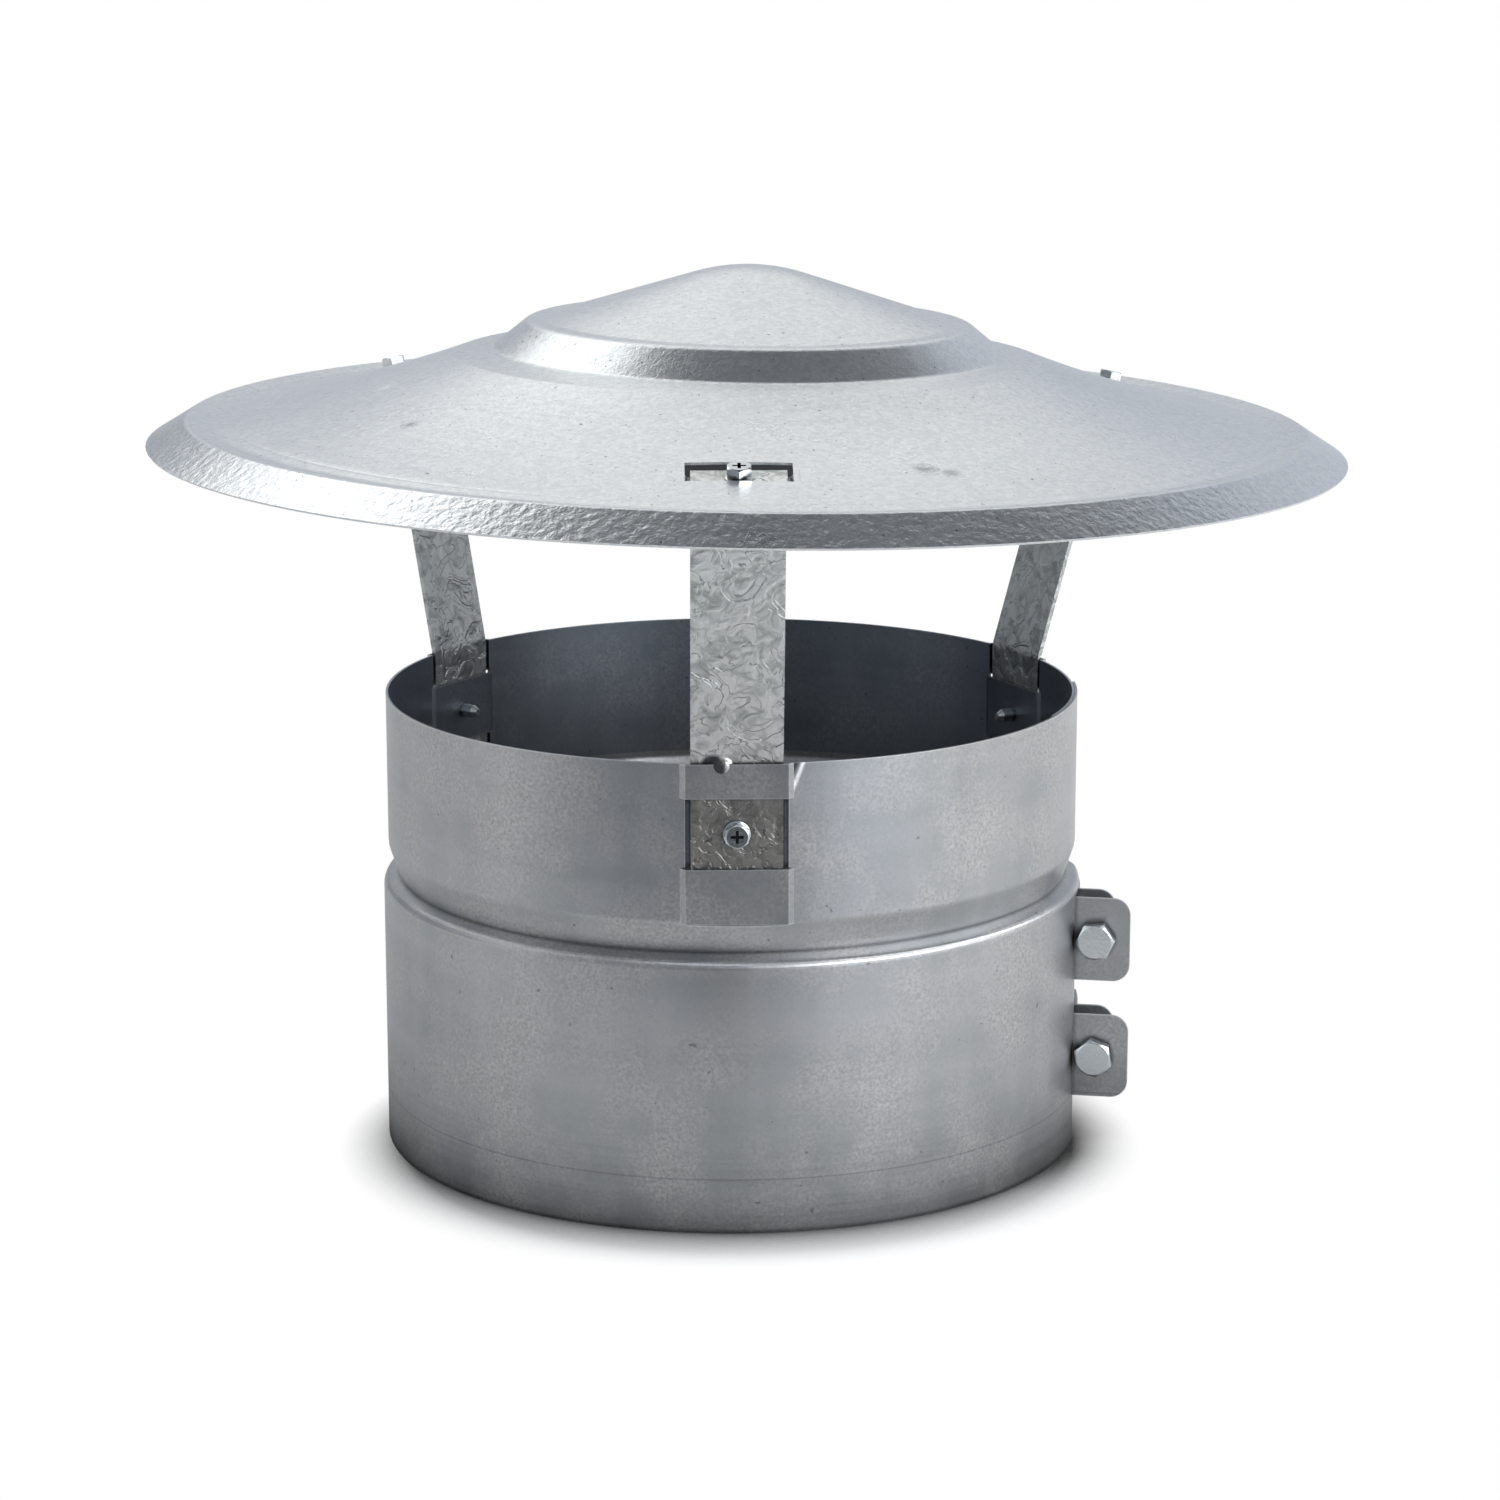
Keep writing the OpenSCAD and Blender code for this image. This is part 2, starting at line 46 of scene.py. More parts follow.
# Adds a node. An input is a socket to link, a plain value, or a colour's hex code.
def add(tree, kind, inputs=None, ramp=None, **settings):
    node = tree.nodes.new(kind)
    for name, value in settings.items():
        if hasattr(node, name) and name not in node.inputs:
            setattr(node, name, value)
        else:
            node.inputs[name.replace("_", " ")].default_value = value
    for name, source in (inputs or {}).items():
        if isinstance(source, bpy.types.NodeSocket):
            tree.links.new(source, node.inputs[name])
        else:
            node.inputs[name].default_value = linear(source) if isinstance(source, str) else source
    if ramp:
        stops = node.color_ramp.elements
        while len(stops) < len(ramp):
            stops.new(0.5)
        for stop, (place, grey) in zip(stops, ramp):
            stop.position = place
            stop.color = (grey, grey, grey, 1.0)
    return node


def new_material(name):
    material = bpy.data.materials.new(name)
    material.use_nodes = True
    tree = material.node_tree
    tree.nodes.clear()
    return material, tree


def dress(node, material):
    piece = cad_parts[node]
    piece.data.materials.clear()
    piece.data.materials.append(material)


# Painted shade, with some grime, in the gaps: the base colour is darkened where another face lies within 2.5 mm of
# it
def gap_shade_and_grime(tree, colour):
    near = add(tree, "ShaderNodeAmbientOcclusion", Distance=0.0025)
    depth = add(tree, "ShaderNodeMapRange", {"Value": near.outputs["AO"]}, From_Min=0.35, From_Max=0.8,
                To_Min=0.12, To_Max=1.0)
    return add(tree, "ShaderNodeMix", {0: 1.0, 6: colour, 7: depth.outputs["Result"]}, data_type="RGBA",
               blend_type="MULTIPLY").outputs[2]


# Painted highlight on edges: the colour is lifted to a bright tone where the surface turns, standing in for light
# caught by the rounded sheet edges
def painted_edge_highlight(tree, colour, bright, width=0.0003):
    rounded = add(tree, "ShaderNodeBevel", Radius=width)
    faces = add(tree, "ShaderNodeNewGeometry")
    turn = add(tree, "ShaderNodeVectorMath", {0: rounded.outputs["Normal"], 1: faces.outputs["Normal"]},
               operation="DOT_PRODUCT")
    edge = add(tree, "ShaderNodeMapRange", {"Value": turn.outputs["Value"]}, From_Min=0.8, From_Max=0.97,
               To_Min=0.8, To_Max=0.0)
    return add(tree, "ShaderNodeMix", {0: edge.outputs["Result"], 6: colour, 7: bright},
               data_type="RGBA").outputs[2]


# A soft spot round a place: 1 at its middle, 0 at its radius
def spot(tree, place, middle, radius):
    away = add(tree, "ShaderNodeVectorMath", {0: place, 1: middle}, operation="DISTANCE")
    return add(tree, "ShaderNodeMapRange", {"Value": away.outputs["Value"]}, From_Min=0.0, From_Max=radius,
               To_Min=1.0, To_Max=0.0).outputs["Result"]


hat_axis = (0.0052, -0.0032)
rings_start, rings_end = 0.140, 0.172
skirt_start, skirt_full = 0.158, 0.161
# Small marks on the sheet, three darker and one white: two in front at the right, and two at the left
hat_marks = [((0.051, -0.1200, 0.2152), 0.008, "#8d949a"), ((0.058, -0.1210, 0.2148), 0.006, "#9aa1a6"),
          ((-0.0856, -0.0753, 0.2199), 0.006, "#8d949a"), ((-0.0962, -0.0288, 0.2233), 0.007, "#ffffff")]
hat_zinc, tree = new_material("spun_galvanised_sheet")
place = add(tree, "ShaderNodeTexCoord").outputs["Object"]
# Spangle crystals about 1.1 mm wide, each a shade of its own, over a 0.6 mm frost
spangle = add(tree, "ShaderNodeTexVoronoi", {"Vector": place}, Scale=900.0)
shade = add(tree, "ShaderNodeSeparateColor", {"Color": spangle.outputs["Color"]})
frost = add(tree, "ShaderNodeTexNoise", {"Vector": place}, Scale=1500.0, Detail=2.0, Roughness=0.6)
cloud = add(tree, "ShaderNodeTexNoise", {"Vector": place}, Scale=22.0, Detail=3.0)
pits = add(tree, "ShaderNodeTexNoise", {"Vector": place}, Scale=700.0, Detail=1.0)
pit = add(tree, "ShaderNodeValToRGB", {"Fac": pits.outputs["Fac"]}, ramp=[(0.22, 1.0), (0.27, 0.0)])
pale = add(tree, "ShaderNodeMix", {0: shade.outputs["Red"], 6: "#c3cbd0", 7: "#fafbfa"}, data_type="RGBA")
tinted = add(tree, "ShaderNodeMix", {0: shade.outputs["Green"], 6: "#dde6ee", 7: "#f0eae8"}, data_type="RGBA")
grain = add(tree, "ShaderNodeMix", {0: 0.35, 6: pale.outputs[2], 7: tinted.outputs[2]}, data_type="RGBA")
frosted_grain = add(tree, "ShaderNodeMix", {0: frost.outputs["Fac"], 6: "#d5dadd", 7: grain.outputs[2]},
                    data_type="RGBA")
colour = add(tree, "ShaderNodeMix", {0: pit.outputs["Color"], 6: frosted_grain.outputs[2], 7: "#8f959a"},
             data_type="RGBA").outputs[2]
mark_noise = add(tree, "ShaderNodeTexNoise", {"Vector": place}, Scale=520.0, Detail=3.0, Distortion=1.5)
for middle, reach, tone in hat_marks:
    mark = add(tree, "ShaderNodeMath", {0: spot(tree, place, middle, reach), 1: mark_noise.outputs["Fac"]},
               operation="MULTIPLY")
    mark_strength = add(tree, "ShaderNodeMapRange", {"Value": mark.outputs["Value"]}, From_Min=0.22, From_Max=0.5,
               To_Min=0.0, To_Max=0.8)
    colour = add(tree, "ShaderNodeMix", {0: mark_strength.outputs["Result"], 6: colour, 7: tone},
                 data_type="RGBA").outputs[2]
# Painted highlight on the edges and painted shade in the gaps
colour = gap_shade_and_grime(tree, painted_edge_highlight(tree, colour, "#f4f6f6"))
# The rings, by their radius about the hat's own axis
around = add(tree, "ShaderNodeMapping", {"Vector": place, "Location": (-hat_axis[0], -hat_axis[1], 0),
                                         "Scale": (1, 1, 0)})
radius = add(tree, "ShaderNodeVectorMath", {0: around.outputs["Vector"]}, operation="LENGTH")
band = add(tree, "ShaderNodeMapRange", {"Value": radius.outputs["Value"]}, From_Min=rings_start,
           From_Max=rings_end)
rings = add(tree, "ShaderNodeValToRGB", {"Fac": band.outputs["Result"]},
            ramp=[(0.0, 0.5), (0.22, 0.5), (0.245, 0.1), (0.27, 0.5), (0.35, 0.5), (0.38, 0.15), (0.41, 0.5),
                  (0.54, 0.5), (0.56, 0.2), (0.585, 0.5)])
rough = add(tree, "ShaderNodeMapRange", {"Value": cloud.outputs["Fac"]}, To_Min=0.24, To_Max=0.34)
frosted = add(tree, "ShaderNodeBump", {"Height": frost.outputs["Fac"]}, Strength=0.5, Distance=0.00014)
crystals = add(tree, "ShaderNodeBump", {"Height": shade.outputs["Green"], "Normal": frosted.outputs["Normal"]},
               Strength=0.3, Distance=0.00010)
# The skirt, turned down hardest, crumpled its zinc most
skirt = add(tree, "ShaderNodeMapRange", {"Value": radius.outputs["Value"]}, From_Min=skirt_start,
            From_Max=skirt_full, To_Min=0.25, To_Max=0.9)
waves = add(tree, "ShaderNodeTexNoise", {"Vector": place}, Scale=380.0, Detail=3.0)
waved = add(tree, "ShaderNodeBump", {"Height": waves.outputs["Fac"], "Normal": crystals.outputs["Normal"],
                                     "Strength": skirt.outputs["Result"]}, Distance=0.00035)
ringed = add(tree, "ShaderNodeBump", {"Height": rings.outputs["Color"], "Normal": waved.outputs["Normal"]},
             Strength=0.6, Distance=0.00025)
skin = add(tree, "ShaderNodeBsdfPrincipled",
           {"Base Color": colour, "Roughness": rough.outputs["Result"], "Normal": ringed.outputs["Normal"]},
           Metallic=1.0)
add(tree, "ShaderNodeOutputMaterial", {"Surface": skin.outputs["BSDF"]})
dress("hat", hat_zinc)

# Collar
# One strip of galvanised sheet, rolled round, grooved between rollers and lapped at the clamp side.
# Its zinc is dull and softly blotched, frosted in patches, with the rollers' fine lines round its foot, where a
# painted reflection of the floor's shadow also darkens it.
# The two angle lugs behind its ears are of the same kind of sheet.
foot_lines_and_shade_full, foot_lines_and_shade_end = 0.018, 0.032
scribe_z, scribe_half_width = 0.0154, 0.00025
inside_shade_radius, inside_shade_z = 0.0995, 0.09
collar_zinc, tree = new_material("rolled_galvanised_sheet")
place = add(tree, "ShaderNodeTexCoord").outputs["Object"]
levels = add(tree, "ShaderNodeSeparateXYZ", {"Vector": place})
# The rollers' lines, about 1.4 mm apart, darken the foot and fade out above it; this darker foot is also a painted
# reflection of the floor's shadow
round_wall = add(tree, "ShaderNodeMapping", {"Vector": place, "Scale": (9, 9, 700)})
streaks = add(tree, "ShaderNodeTexNoise", {"Vector": round_wall.outputs["Vector"]}, Scale=1.0, Detail=3.0)
foot = add(tree, "ShaderNodeMapRange", {"Value": levels.outputs["Z"]}, From_Min=foot_lines_and_shade_full,
           From_Max=foot_lines_and_shade_end, To_Min=1.0, To_Max=0.12)
foot_lines_and_shade = add(tree, "ShaderNodeMath", {0: streaks.outputs["Fac"], 1: foot.outputs["Result"]}, operation="MULTIPLY")
# Broad bands round the wall and smears up it
broad = add(tree, "ShaderNodeMapping", {"Vector": place, "Scale": (7, 7, 85)})
bands = add(tree, "ShaderNodeTexNoise", {"Vector": broad.outputs["Vector"]}, Scale=1.0, Detail=2.0)
up_wall = add(tree, "ShaderNodeMapping", {"Vector": place, "Scale": (60, 60, 14)})
smears = add(tree, "ShaderNodeTexNoise", {"Vector": up_wall.outputs["Vector"]}, Scale=1.0, Detail=3.0)
mixed = add(tree, "ShaderNodeMath", {0: bands.outputs["Fac"], 1: smears.outputs["Fac"]}, operation="ADD")
tone = add(tree, "ShaderNodeMapRange", {"Value": mixed.outputs["Value"]}, From_Min=0.75, From_Max=1.25)
wall = add(tree, "ShaderNodeMix", {0: tone.outputs["Result"], 6: "#a2a6a9", 7: "#b8babd"}, data_type="RGBA")
foot_lined_and_shaded = add(tree, "ShaderNodeMix", {0: foot_lines_and_shade.outputs["Value"], 6: wall.outputs[2], 7: "#8b8f92"}, data_type="RGBA")
# Frost of about 0.9 mm, strongest in patches some 24 mm wide
blotches = add(tree, "ShaderNodeTexNoise", {"Vector": place}, Scale=42.0, Detail=5.0, Roughness=0.6)
frost = add(tree, "ShaderNodeTexNoise", {"Vector": place}, Scale=1100.0, Detail=3.0, Roughness=0.7)
patches = add(tree, "ShaderNodeMapRange", {"Value": blotches.outputs["Fac"]}, From_Min=0.42, From_Max=0.62,
              To_Min=0.12, To_Max=0.75)
speckle = add(tree, "ShaderNodeValToRGB", {"Fac": frost.outputs["Fac"]}, ramp=[(0.35, 0.36), (0.65, 0.60)])
speckled = add(tree, "ShaderNodeMix", {0: patches.outputs["Result"], 6: foot_lined_and_shaded.outputs[2],
                                       7: speckle.outputs["Color"]}, data_type="RGBA")
# A scribe line near the foot and a few dark nicks
scribe = add(tree, "ShaderNodeMath", {0: levels.outputs["Z"], 1: scribe_z, 2: scribe_half_width},
             operation="COMPARE")
faint = add(tree, "ShaderNodeMath", {0: scribe.outputs["Value"], 1: 0.35}, operation="MULTIPLY")
scribed = add(tree, "ShaderNodeMix", {0: faint.outputs["Value"], 6: speckled.outputs[2], 7: "#6f7376"},
              data_type="RGBA")
nicks = add(tree, "ShaderNodeTexNoise", {"Vector": place}, Scale=420.0, Detail=1.0)
nick = add(tree, "ShaderNodeValToRGB", {"Fac": nicks.outputs["Fac"]}, ramp=[(0.20, 0.7), (0.24, 0.0)])
nicked = add(tree, "ShaderNodeMix", {0: nick.outputs["Color"], 6: scribed.outputs[2], 7: "#777b7e"},
             data_type="RGBA")
# Painted highlight on the edges and painted shade in the gaps
edged = gap_shade_and_grime(tree, painted_edge_highlight(tree, nicked.outputs[2], "#f2f5f7", 0.0006))
# Inside, above the groove, the colour is darkened and tinted blue-grey: painted shade with a painted reflection of
# a bluish room
flat = add(tree, "ShaderNodeVectorMath", {0: place, 1: (1, 1, 0)}, operation="MULTIPLY")
reach = add(tree, "ShaderNodeVectorMath", {0: flat.outputs["Vector"]}, operation="LENGTH")
inner = add(tree, "ShaderNodeMath", {0: reach.outputs["Value"], 1: inside_shade_radius}, operation="LESS_THAN")
above = add(tree, "ShaderNodeMath", {0: levels.outputs["Z"], 1: inside_shade_z}, operation="GREATER_THAN")
inside_shade = add(tree, "ShaderNodeMath", {0: inner.outputs["Value"], 1: above.outputs["Value"]}, operation="MULTIPLY")
inside_shaded = add(tree, "ShaderNodeMix", {0: inside_shade.outputs["Value"], 6: edged, 7: "#d2d9e4"}, data_type="RGBA",
             blend_type="MULTIPLY")
rough = add(tree, "ShaderNodeMapRange", {"Value": blotches.outputs["Fac"]}, To_Min=0.29, To_Max=0.46)
scored = add(tree, "ShaderNodeBump", {"Height": foot_lines_and_shade.outputs["Value"]}, Strength=0.3, Distance=0.00012)
frosted = add(tree, "ShaderNodeBump", {"Height": frost.outputs["Fac"], "Normal": scored.outputs["Normal"]},
              Strength=0.3, Distance=0.00010)
waved = add(tree, "ShaderNodeBump", {"Height": smears.outputs["Fac"], "Normal": frosted.outputs["Normal"]},
            Strength=0.3, Distance=0.0010)
skin = add(tree, "ShaderNodeBsdfPrincipled",
           {"Base Color": inside_shaded.outputs[2], "Roughness": rough.outputs["Result"],
            "Normal": waved.outputs["Normal"]}, Metallic=1.0)
add(tree, "ShaderNodeOutputMaterial", {"Surface": skin.outputs["BSDF"]})
for node in ("collar", "clamp_lug_upper", "clamp_lug_lower"):
    dress(node, collar_zinc)

# Straps
# Flat bar, bent to its lean and dipped in molten zinc, which froze on it in crumpled leaves
# some 6 mm wide that lap over each other. The front one is stained brown where the collar holds it.
strap_roughness = 0.42
stain_top, stain_end = 0.124, 0.130
lower_shade_start, lower_shade_end = 0.135, 0.19
drip_middle, drip_reach = (-0.0041, -0.1003, 0.1312), 0.0045


def strap_material(name, light, dark, stained):
    material, tree = new_material(name)
    place = add(tree, "ShaderNodeTexCoord").outputs["Object"]
    leaves = add(tree, "ShaderNodeTexNoise", {"Vector": place}, Scale=95.0, Detail=4.0, Distortion=0.7)
    small = add(tree, "ShaderNodeTexNoise", {"Vector": place}, Scale=230.0, Detail=4.0, Distortion=0.9)
    lap = add(tree, "ShaderNodeValToRGB", {"Fac": leaves.outputs["Fac"]},
              ramp=[(0.40, 0.0), (0.43, 0.4), (0.50, 0.45), (0.53, 0.8), (0.62, 0.85), (0.64, 1.0)])
    # Painted shade: a dark line in the crease at the step of each leaf, broken up by a second noise
    crease_shade = add(tree, "ShaderNodeValToRGB", {"Fac": leaves.outputs["Fac"]},
                 ramp=[(0.40, 0.0), (0.415, 1.0), (0.43, 0.0), (0.50, 0.0), (0.515, 1.0), (0.53, 0.0)])
    broken = add(tree, "ShaderNodeValToRGB", {"Fac": small.outputs["Fac"]}, ramp=[(0.42, 0.0), (0.60, 0.9)])
    crease_shaded = add(tree, "ShaderNodeMath", {0: crease_shade.outputs["Color"], 1: broken.outputs["Color"]},
                  operation="MULTIPLY")
    body = add(tree, "ShaderNodeMapRange", {"Value": small.outputs["Fac"]}, From_Min=0.35, From_Max=0.55)
    plain = add(tree, "ShaderNodeMix", {0: body.outputs["Result"], 6: dark, 7: light}, data_type="RGBA")
    colour = add(tree, "ShaderNodeMix", {0: crease_shaded.outputs["Value"], 6: plain.outputs[2], 7: "#75787a"},
                 data_type="RGBA").outputs[2]
    rough = strap_roughness
    if stained:
        # The stain; a painted shade that darkens the strap towards the bottom, so the upper part looks lit by the
        # floor it mirrors; and the zinc drip over the rim, which is dark and matt
        levels = add(tree, "ShaderNodeSeparateXYZ", {"Vector": place})
        held = add(tree, "ShaderNodeMapRange", {"Value": levels.outputs["Z"]}, From_Min=stain_top,
                   From_Max=stain_end, To_Min=1.0, To_Max=0.0)
        brown = add(tree, "ShaderNodeMix", {0: held.outputs["Result"], 6: colour, 7: "#b8b4b1"},
                    data_type="RGBA", blend_type="MULTIPLY")
        lower_shade = add(tree, "ShaderNodeMapRange", {"Value": levels.outputs["Z"]}, From_Min=lower_shade_start,
                   From_Max=lower_shade_end, To_Min=0.75, To_Max=1.0)
        lower_shaded = add(tree, "ShaderNodeMix", {0: 1.0, 6: brown.outputs[2], 7: lower_shade.outputs["Result"]},
                     data_type="RGBA", blend_type="MULTIPLY")
        drip = add(tree, "ShaderNodeMapRange", {"Value": spot(tree, place, drip_middle, drip_reach)},
                   From_Min=0.1, From_Max=0.35)
        colour = add(tree, "ShaderNodeMix", {0: drip.outputs["Result"], 6: lower_shaded.outputs[2], 7: "#55585a"},
                     data_type="RGBA").outputs[2]
        rough = add(tree, "ShaderNodeMapRange", {"Value": drip.outputs["Result"]}, To_Min=strap_roughness,
                    To_Max=0.75).outputs["Result"]
    height = add(tree, "ShaderNodeMath", {0: lap.outputs["Color"], 1: small.outputs["Fac"]}, operation="ADD")
    bump = add(tree, "ShaderNodeBump", {"Height": height.outputs["Value"]}, Strength=0.6, Distance=0.0008)
    # The strap's base colour gets painted shade in its gaps
    skin = add(tree, "ShaderNodeBsdfPrincipled",
               {"Normal": bump.outputs["Normal"], "Base Color": gap_shade_and_grime(tree, colour), "Roughness": rough},
               Metallic=1.0)
    add(tree, "ShaderNodeOutputMaterial", {"Surface": skin.outputs["BSDF"]})
    return material


# One zinc in two tones: the front strap gets painted light, paler, and the side straps painted shade, darker
dress("strap_front", strap_material("hot_dip_zinc_stained", "#f0f2f0", "#c2c6c3", True))
shaded_strap_zinc = strap_material("hot_dip_zinc", "#bcbebe", "#949797", False)
for node in ("strap_left", "strap_right"):
    dress(node, shaded_strap_zinc)

# Fasteners
# Small steel screws, bolts and nuts, headed and rolled cold, with bright zinc plating.
# The plating mirrors the room softly, a little uneven every millimetre or so.
bright_zinc, tree = new_material("bright_zinc_plating")
place = add(tree, "ShaderNodeTexCoord").outputs["Object"]
mottle = add(tree, "ShaderNodeTexNoise", {"Vector": place}, Scale=900.0, Detail=3.0)
rough = add(tree, "ShaderNodeMapRange", {"Value": mottle.outputs["Fac"]}, To_Min=0.14, To_Max=0.32)
bump = add(tree, "ShaderNodeBump", {"Height": mottle.outputs["Fac"]}, Strength=0.3, Distance=0.0001)
plate = add(tree, "ShaderNodeMix", {0: mottle.outputs["Fac"], 6: "#bcc2c6", 7: "#dde1e4"}, data_type="RGBA")
# The plating gets a painted highlight on its edges and painted shade in its gaps
skin = add(tree, "ShaderNodeBsdfPrincipled",
           {"Base Color": gap_shade_and_grime(tree, painted_edge_highlight(tree, plate.outputs[2], "#f2f4f5")),
            "Roughness": rough.outputs["Result"], "Normal": bump.outputs["Normal"]}, Metallic=1.0)
add(tree, "ShaderNodeOutputMaterial", {"Surface": skin.outputs["BSDF"]})
for side in ("front", "left", "right"):
    dress("hat_screw_" + side, bright_zinc)
    dress("collar_screw_" + side, bright_zinc)
for level in ("upper", "lower"):
    dress("clamp_bolt_" + level, bright_zinc)
    dress("clamp_nut_" + level, bright_zinc)


# Floor
# A white studio floor that keeps the cap's soft shadow; where the collar stands on it a painted shadow, from
# ambient occlusion within 50 mm, darkens its colour.
# Seen directly, or mirrored in the metal, it is lifted to white away from the cap.
def looked_at(tree):
    rays = add(tree, "ShaderNodeLightPath")
    mirrored = add(tree, "ShaderNodeMath",
                   {0: rays.outputs["Is Glossy Ray"], 1: rays.outputs["Is Transmission Ray"]}, operation="MAXIMUM")
    seen = add(tree, "ShaderNodeMath", {0: rays.outputs["Is Camera Ray"], 1: mirrored.outputs["Value"]},
               operation="MAXIMUM")
    return rays.outputs["Is Camera Ray"], seen.outputs["Value"]


floor_half, floor_front = 9.0, -0.30
bpy.ops.object.select_all(action="DESELECT")
bpy.ops.mesh.primitive_plane_add(size=1.0, location=(0, 0, 0))
floor = bpy.context.object
floor.name = "floor"
for vertex in floor.data.vertices:
    vertex.co = (floor_half if vertex.co.x > 0 else -floor_half, floor_half if vertex.co.y > 0 else floor_front, 0)
floor_white, tree = new_material("white_floor")
place = add(tree, "ShaderNodeTexCoord").outputs["Object"]
camera_ray, seen = looked_at(tree)
distance = add(tree, "ShaderNodeVectorMath", {0: place, 1: (-0.3, 0.15, 0)}, operation="DISTANCE")
far = add(tree, "ShaderNodeMapRange", {"Value": distance.outputs["Value"]}, From_Min=0.5, From_Max=0.85)
lift = add(tree, "ShaderNodeMath", {0: seen, 1: far.outputs["Result"]}, operation="MULTIPLY")
shown = add(tree, "ShaderNodeMapRange", {"Value": camera_ray}, To_Min=0.70, To_Max=1.45)
# Painted contact shadow: the floor's colour is darkened by ambient occlusion near the collar's foot
covered = add(tree, "ShaderNodeAmbientOcclusion", Distance=0.05)
painted_contact_shadow = add(tree, "ShaderNodeMapRange", {"Value": covered.outputs["AO"]}, From_Min=0.5, From_Max=0.95,
              To_Min=0.03, To_Max=1.0)
shaded = add(tree, "ShaderNodeMath", {0: shown.outputs["Result"], 1: painted_contact_shadow.outputs["Result"]},
             operation="MULTIPLY")
# The camera sees the floor's shadow, cast and painted, only within a disc set forward and a little right of the
# cap; beyond it the camera sees plain white
off_disc_centre = add(tree, "ShaderNodeVectorMath", {0: place, 1: (0.003, -0.02, 0)}, operation="DISTANCE")
beyond = add(tree, "ShaderNodeMapRange", {"Value": off_disc_centre.outputs["Value"]}, From_Min=0.097, From_Max=0.117)
plain = add(tree, "ShaderNodeMath", {0: beyond.outputs["Result"], 1: camera_ray}, operation="MULTIPLY")
white = add(tree, "ShaderNodeMath", {0: lift.outputs["Value"], 1: plain.outputs["Value"]}, operation="MAXIMUM")
paper = add(tree, "ShaderNodeBsdfDiffuse", {"Color": shaded.outputs["Value"]})
glow = add(tree, "ShaderNodeEmission", {"Color": (1, 1, 1, 1)}, Strength=1.0)
both = add(tree, "ShaderNodeMixShader", {0: white.outputs["Value"], 1: paper.outputs["BSDF"], 2: glow.outputs[0]})
add(tree, "ShaderNodeOutputMaterial", {"Surface": both.outputs[0]})
floor.data.materials.append(floor_white)


# Cards
# Metal in a white room photographs flat, so flat cards stand round the cap and one hangs over it.
# They are greys of a set brightness, some shaded from left to right, and one is bright for a gleam.
# Only the metal sees them, except the small one under the hat.
def card(name, corners, left, right):
    bpy.ops.object.select_all(action="DESELECT")
    bpy.ops.mesh.primitive_plane_add(size=1.0, location=(0, 0, 0))
    piece = bpy.context.object
    piece.name = name
    for vertex, corner in zip(piece.data.vertices, corners):
        vertex.co = corner
    paint, tree = new_material(name)
    place = add(tree, "ShaderNodeTexCoord").outputs["Object"]
    sides = add(tree, "ShaderNodeSeparateXYZ", {"Vector": place})
    across = add(tree, "ShaderNodeMapRange", {"Value": sides.outputs["X"]}, interpolation_type="SMOOTHSTEP",
                 From_Min=0.2, From_Max=2.3, To_Min=left, To_Max=right)
    glow = add(tree, "ShaderNodeEmission", {"Strength": across.outputs["Result"], "Color": "#f0f5ff"})
    add(tree, "ShaderNodeOutputMaterial", {"Surface": glow.outputs[0]})
    piece.data.materials.append(paint)
    piece.visible_camera = False
    piece.visible_diffuse = False
    piece.visible_shadow = False
    return piece


# Overhead, for the hat's top, then at the sides and behind, for the collar's edges and its inside
card("card_above", [(-1.22, -0.75, 1.3), (1.8, -0.75, 1.3), (-0.33, 0.41, 1.3), (1.8, 1.15, 1.3)], 0.14, 0.2)
card("card_right", [(0.75, 1.9, 0.05), (2.4, 0.2, 0.05), (0.75, 1.9, 2.0), (2.4, 0.2, 2.0)], 0.68, 0.68)
card("card_left", [(-1.9, -0.3, 0.05), (-0.7, 2.0, 0.05), (-1.9, -0.3, 1.0), (-0.7, 2.0, 1.0)], 0.42, 0.42)
card("card_behind", [(-1.2, 2.3, 0.05), (1.4, 2.3, 0.05), (-1.2, 2.3, 1.25), (1.4, 2.3, 1.25)], 0.6, 0.95)
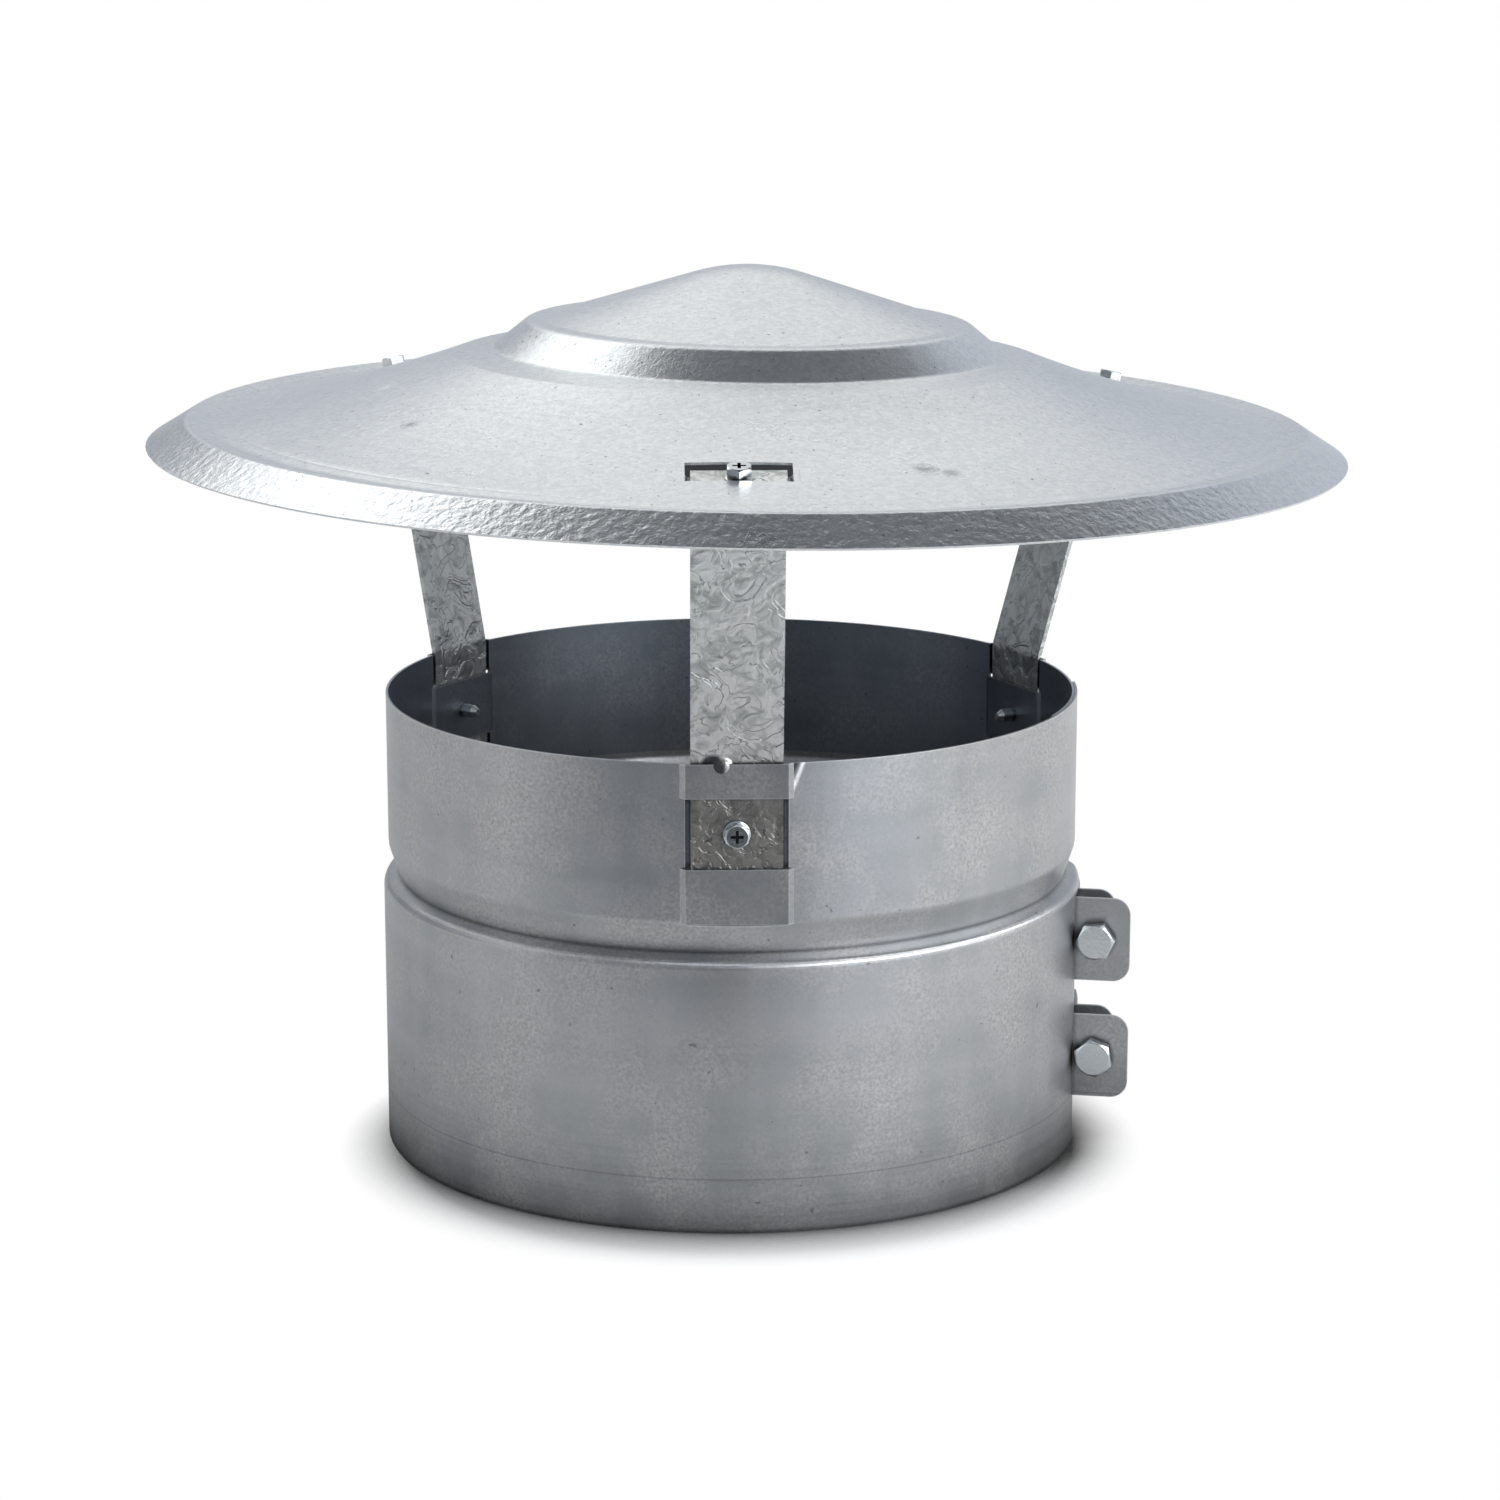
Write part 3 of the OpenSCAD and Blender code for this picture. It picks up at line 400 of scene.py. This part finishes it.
# Behind the camera, for the collar's front, with a darker one before its middle
card("card_in_front", [(-3.5, -1.9, -2.2), (3.5, -1.9, -2.2), (-3.5, -1.9, 3.0), (3.5, -1.9, 3.0)], 0.35, 1.1)
card("card_centre", [(-0.3, -1.8, -1.3), (0.3, -1.8, -1.3), (-0.3, -1.8, 0.25), (0.3, -1.8, 0.25)], 0.08, 0.08)
# The bright one, high in front at the left
card("card_gleam", [(-0.38, -1.05, 1.27), (-0.02, -1.05, 1.27), (-0.38, -0.85, 1.27), (-0.02, -0.85, 1.27)],
     6.0, 6.0)
# A small dark card close under the hat, seen by the camera, puts painted shade in the front window's slots in
# place of the white room
window_shade_card = card("card_window_shade", [(-0.018, -0.1, 0.2045), (0.018, -0.1, 0.2045),
                                          (-0.018, -0.1, 0.2155), (0.018, -0.1, 0.2155)], 0.05, 0.05)
window_shade_card.visible_camera = True

# Light
# A white room, a soft panel at the left and behind, one at the right of the camera and one at the side.
world = bpy.data.worlds.new("studio")
scene.world = world
world.use_nodes = True
tree = world.node_tree
tree.nodes.clear()
camera_ray, seen = looked_at(tree)
room = add(tree, "ShaderNodeBackground", {"Color": (0.97, 0.98, 1.0, 1)}, Strength=0.8)
white = add(tree, "ShaderNodeBackground", {"Color": (1, 1, 1, 1)}, Strength=1.0)
both = add(tree, "ShaderNodeMixShader", {0: seen, 1: room.outputs[0], 2: white.outputs[0]})
add(tree, "ShaderNodeOutputWorld", {"Surface": both.outputs[0]})


def panel(name, place, aim, width, height, power):
    data = bpy.data.lights.new(name, "AREA")
    data.shape = "RECTANGLE"
    data.size = width
    data.size_y = height
    data.energy = power
    lamp = bpy.data.objects.new(name, data)
    lamp.location = place
    lamp.rotation_euler = (Vector(aim) - Vector(place)).to_track_quat("-Z", "Y").to_euler()
    scene.collection.objects.link(lamp)


panel("panel_left", place=(-0.72, 0.85, 1.38), aim=(0, 0, 0.2), width=0.6, height=0.7, power=1.45)
panel("panel_right", place=(1.15, -1.15, 0.72), aim=(0, 0, 0.1), width=1.5, height=1.0, power=15)
panel("panel_side", place=(1.5, 0.1, 0.8), aim=(0, 0, 0.05), width=1.4, height=0.5, power=8)
